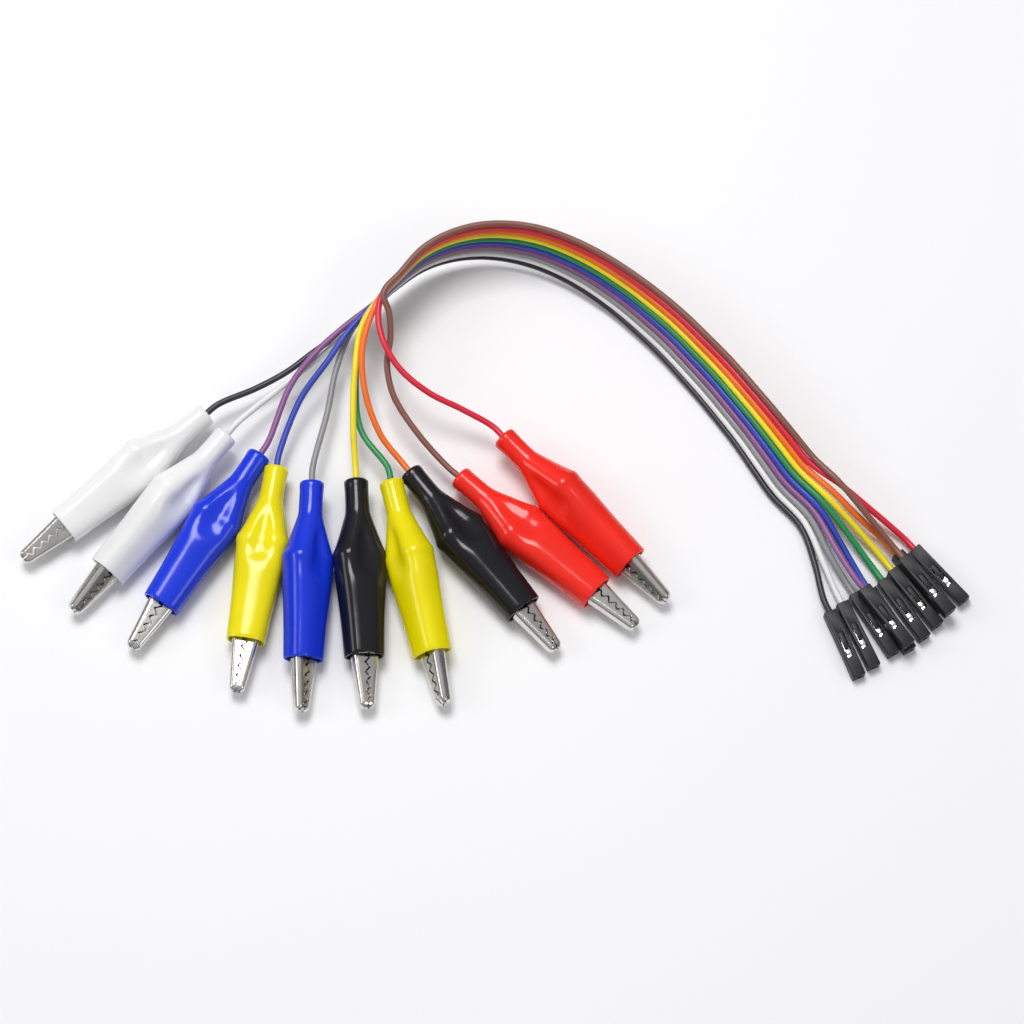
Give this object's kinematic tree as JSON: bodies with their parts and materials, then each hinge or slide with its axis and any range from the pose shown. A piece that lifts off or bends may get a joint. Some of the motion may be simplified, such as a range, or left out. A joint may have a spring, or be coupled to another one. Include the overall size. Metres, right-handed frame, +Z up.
{
  "type": "alligator clip lead",
  "caption": "Rainbow ribbon of bonded hook-up wires, each from a booted spring alligator clip to a black single-way pin socket housing.",
  "frame": {"origin": "on the bench, under the middle of the box round the clips and housings, wires left out", "axes": "+X from the clips towards the housings, +Y towards the ribbon's bend, +Z up from the bench"},
  "size_m": [0.1826, 0.0968, 0.0157],
  "materials": {
    "wire_black": "satin PVC insulation",
    "wire_white": "satin PVC insulation",
    "wire_grey": "satin PVC insulation",
    "wire_purple": "satin PVC insulation",
    "wire_blue": "satin PVC insulation",
    "wire_green": "satin PVC insulation",
    "wire_yellow": "satin PVC insulation",
    "wire_orange": "satin PVC insulation",
    "wire_red": "satin PVC insulation",
    "wire_brown": "satin PVC insulation",
    "boot_white": "glossy soft PVC",
    "boot_blue": "glossy soft PVC",
    "boot_yellow": "glossy soft PVC",
    "boot_black": "glossy soft PVC",
    "boot_red": "glossy soft PVC",
    "nickel_steel": "bright nickel plate on stamped steel",
    "terminal_metal": "bright tin plate",
    "housing_plastic": "satin moulded plastic"
  },
  "bodies": {
    "root": {"lead01_wire_black": "wire_black", "lead01_boot_white": "boot_white", "lead01_fixed_jaw": "nickel_steel", "lead01_housing": "housing_plastic", "lead01_terminal": "terminal_metal", "lead02_wire_white": "wire_white", "lead02_boot_white": "boot_white", "lead02_fixed_jaw": "nickel_steel", "lead02_housing": "housing_plastic", "lead02_terminal": "terminal_metal", "lead03_wire_grey": "wire_grey", "lead03_boot_blue": "boot_blue", "lead03_fixed_jaw": "nickel_steel", "lead03_housing": "housing_plastic", "lead03_terminal": "terminal_metal", "lead04_wire_purple": "wire_purple", "lead04_boot_blue": "boot_blue", "lead04_fixed_jaw": "nickel_steel", "lead04_housing": "housing_plastic", "lead04_terminal": "terminal_metal", "lead05_wire_blue": "wire_blue", "lead05_boot_yellow": "boot_yellow", "lead05_fixed_jaw": "nickel_steel", "lead05_housing": "housing_plastic", "lead05_terminal": "terminal_metal", "lead06_wire_green": "wire_green", "lead06_boot_yellow": "boot_yellow", "lead06_fixed_jaw": "nickel_steel", "lead06_housing": "housing_plastic", "lead06_terminal": "terminal_metal", "lead07_wire_yellow": "wire_yellow", "lead07_boot_black": "boot_black", "lead07_fixed_jaw": "nickel_steel", "lead07_housing": "housing_plastic", "lead07_terminal": "terminal_metal", "lead08_wire_orange": "wire_orange", "lead08_boot_black": "boot_black", "lead08_fixed_jaw": "nickel_steel", "lead08_housing": "housing_plastic", "lead08_terminal": "terminal_metal", "lead09_wire_red": "wire_red", "lead09_boot_red": "boot_red", "lead09_fixed_jaw": "nickel_steel", "lead09_housing": "housing_plastic", "lead09_terminal": "terminal_metal", "lead10_wire_brown": "wire_brown", "lead10_boot_red": "boot_red", "lead10_fixed_jaw": "nickel_steel", "lead10_housing": "housing_plastic", "lead10_terminal": "terminal_metal"},
    "lead01_jaw": {"lead01_moving_jaw": "nickel_steel"},
    "lead02_jaw": {"lead02_moving_jaw": "nickel_steel"},
    "lead03_jaw": {"lead03_moving_jaw": "nickel_steel"},
    "lead04_jaw": {"lead04_moving_jaw": "nickel_steel"},
    "lead05_jaw": {"lead05_moving_jaw": "nickel_steel"},
    "lead06_jaw": {"lead06_moving_jaw": "nickel_steel"},
    "lead07_jaw": {"lead07_moving_jaw": "nickel_steel"},
    "lead08_jaw": {"lead08_moving_jaw": "nickel_steel"},
    "lead09_jaw": {"lead09_moving_jaw": "nickel_steel"},
    "lead10_jaw": {"lead10_moving_jaw": "nickel_steel"}
  },
  "joints": [
    {"name": "lead01_jaw_hinge", "type": "hinge", "parent": "root", "child": "lead01_jaw", "pos_m": [-0.07946, 0.00922, 0.00364], "axis": [0.1917, -0.286, 0.9388], "range_deg": [0, 21], "stiffness_Nm_per_rad": 0.03, "springref_deg": -45.84, "deforming": ["lead01_boot_white"]},
    {"name": "lead02_jaw_hinge", "type": "hinge", "parent": "root", "child": "lead02_jaw", "pos_m": [-0.07125, 0.00058, 0.00404], "axis": [0.5698, -0.5135, 0.6416], "range_deg": [0, 21], "stiffness_Nm_per_rad": 0.03, "springref_deg": -45.84, "deforming": ["lead02_boot_white"]},
    {"name": "lead03_jaw_hinge", "type": "hinge", "parent": "root", "child": "lead03_jaw", "pos_m": [-0.03604, -0.01605, 0.004], "axis": [0.7058, -0.0596, 0.7059], "range_deg": [0, 21], "stiffness_Nm_per_rad": 0.03, "springref_deg": -45.84, "deforming": ["lead03_boot_blue"]},
    {"name": "lead04_jaw_hinge", "type": "hinge", "parent": "root", "child": "lead04_jaw", "pos_m": [-0.06131, -0.00557, 0.00349], "axis": [0.13, -0.1208, 0.9841], "range_deg": [0, 21], "stiffness_Nm_per_rad": 0.03, "springref_deg": -45.84, "deforming": ["lead04_boot_blue"]},
    {"name": "lead05_jaw_hinge", "type": "hinge", "parent": "root", "child": "lead05_jaw", "pos_m": [-0.04662, -0.01227, 0.00339], "axis": [-0.0049, -0.034, 0.9994], "range_deg": [0, 21], "stiffness_Nm_per_rad": 0.03, "springref_deg": -45.84, "deforming": ["lead05_boot_yellow"]},
    {"name": "lead06_jaw_hinge", "type": "hinge", "parent": "root", "child": "lead06_jaw", "pos_m": [-0.01282, -0.01508, 0.00404], "axis": [-0.7354, -0.2182, 0.6416], "range_deg": [0, 21], "stiffness_Nm_per_rad": 0.03, "springref_deg": -45.84, "deforming": ["lead06_boot_yellow"]},
    {"name": "lead07_jaw_hinge", "type": "hinge", "parent": "root", "child": "lead07_jaw", "pos_m": [-0.02492, -0.0154, 0.00373], "axis": [0.4243, -0.0154, 0.9054], "range_deg": [0, 21], "stiffness_Nm_per_rad": 0.03, "springref_deg": -45.84, "deforming": ["lead07_boot_black"]},
    {"name": "lead08_jaw_hinge", "type": "hinge", "parent": "root", "child": "lead08_jaw", "pos_m": [0.00262, -0.00698, 0.00364], "axis": [0.2922, 0.1822, 0.9388], "range_deg": [0, 21], "stiffness_Nm_per_rad": 0.03, "springref_deg": -45.84, "deforming": ["lead08_boot_black"]},
    {"name": "lead09_jaw_hinge", "type": "hinge", "parent": "root", "child": "lead09_jaw", "pos_m": [0.02282, 0.00188, 0.00404], "axis": [-0.5239, -0.5603, 0.6416], "range_deg": [0, 21], "stiffness_Nm_per_rad": 0.03, "springref_deg": -45.84, "deforming": ["lead09_boot_red"]},
    {"name": "lead10_jaw_hinge", "type": "hinge", "parent": "root", "child": "lead10_jaw", "pos_m": [0.01602, -0.00417, 0.00352], "axis": [0.1655, 0.1313, 0.9774], "range_deg": [0, 21], "stiffness_Nm_per_rad": 0.03, "springref_deg": -45.84, "deforming": ["lead10_boot_red"]}
  ]
}
